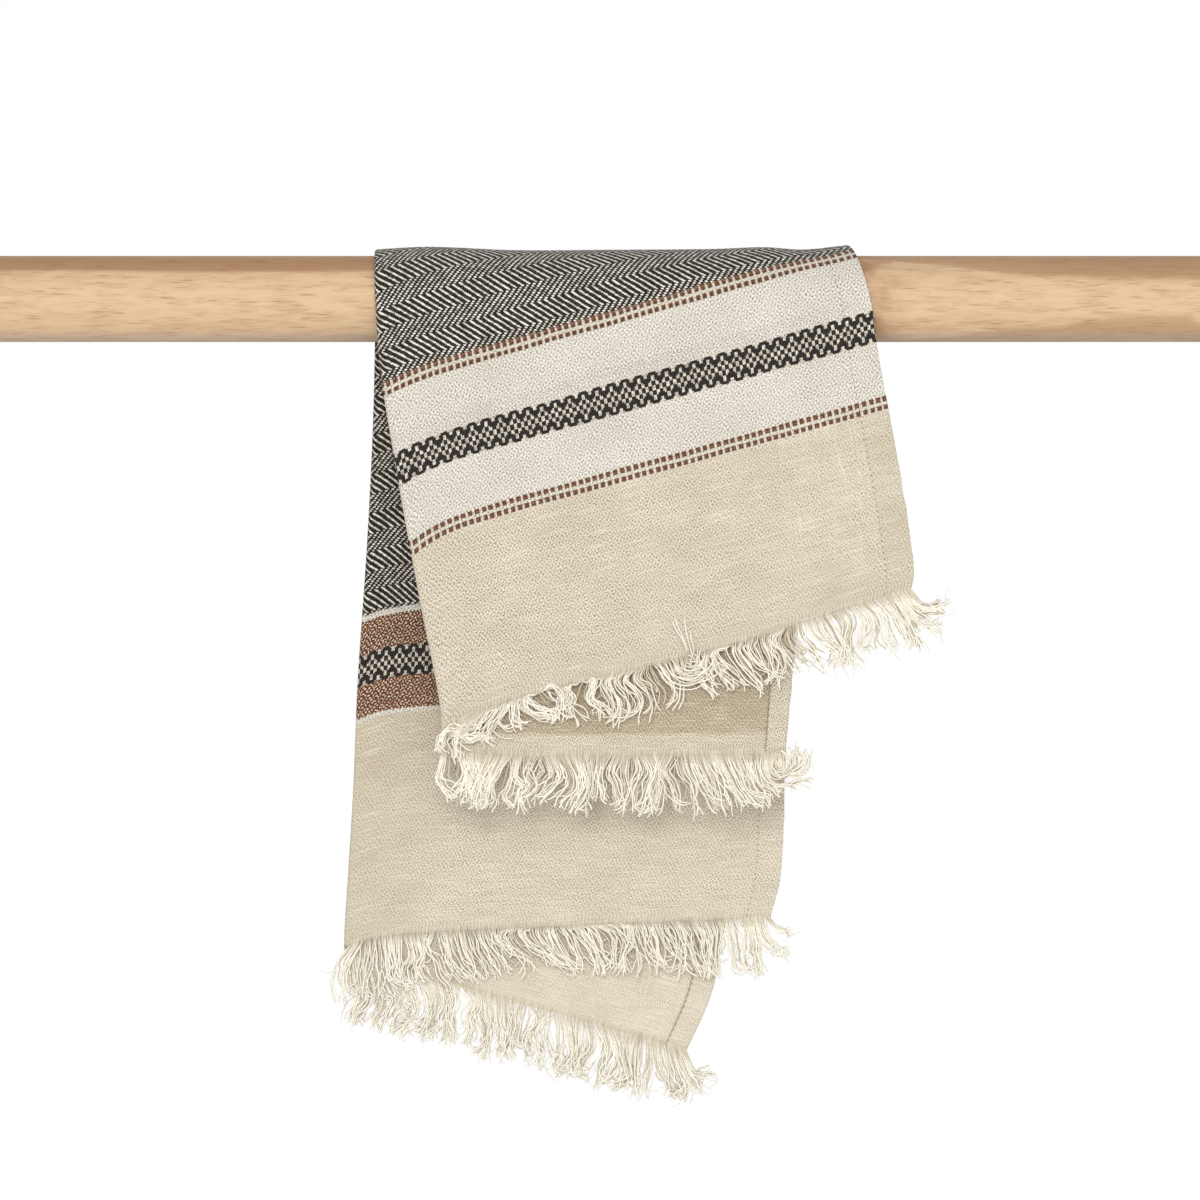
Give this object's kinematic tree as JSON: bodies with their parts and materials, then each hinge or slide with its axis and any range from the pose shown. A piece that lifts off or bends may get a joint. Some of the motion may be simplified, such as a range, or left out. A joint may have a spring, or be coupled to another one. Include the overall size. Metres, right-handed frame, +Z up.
{
  "type": "guest towel and wooden bar",
  "caption": "Fringed linen guest towel with woven herringbone and bands, folded lengthwise and hung over a round wooden bar.",
  "frame": {"origin": "centre of the bar's left end face, as seen from the front, the side of the towel's patterned flap", "axes": "+X along the bar from its left end to its right end, -Y to the front, +Z up"},
  "size_m": [0.66, 0.0612, 0.433],
  "materials": {
    "pine": "smooth oiled pine, satin",
    "linen": "matte woven linen",
    "cream_yarn": "loose matte yarn ends"
  },
  "bodies": {
    "root": {"wooden_bar": "pine", "towel_cloth": "linen", "front_outer_fringe": "cream_yarn", "front_inner_fringe": "cream_yarn", "back_outer_fringe": "cream_yarn", "back_inner_fringe": "cream_yarn"}
  },
  "joints": []
}
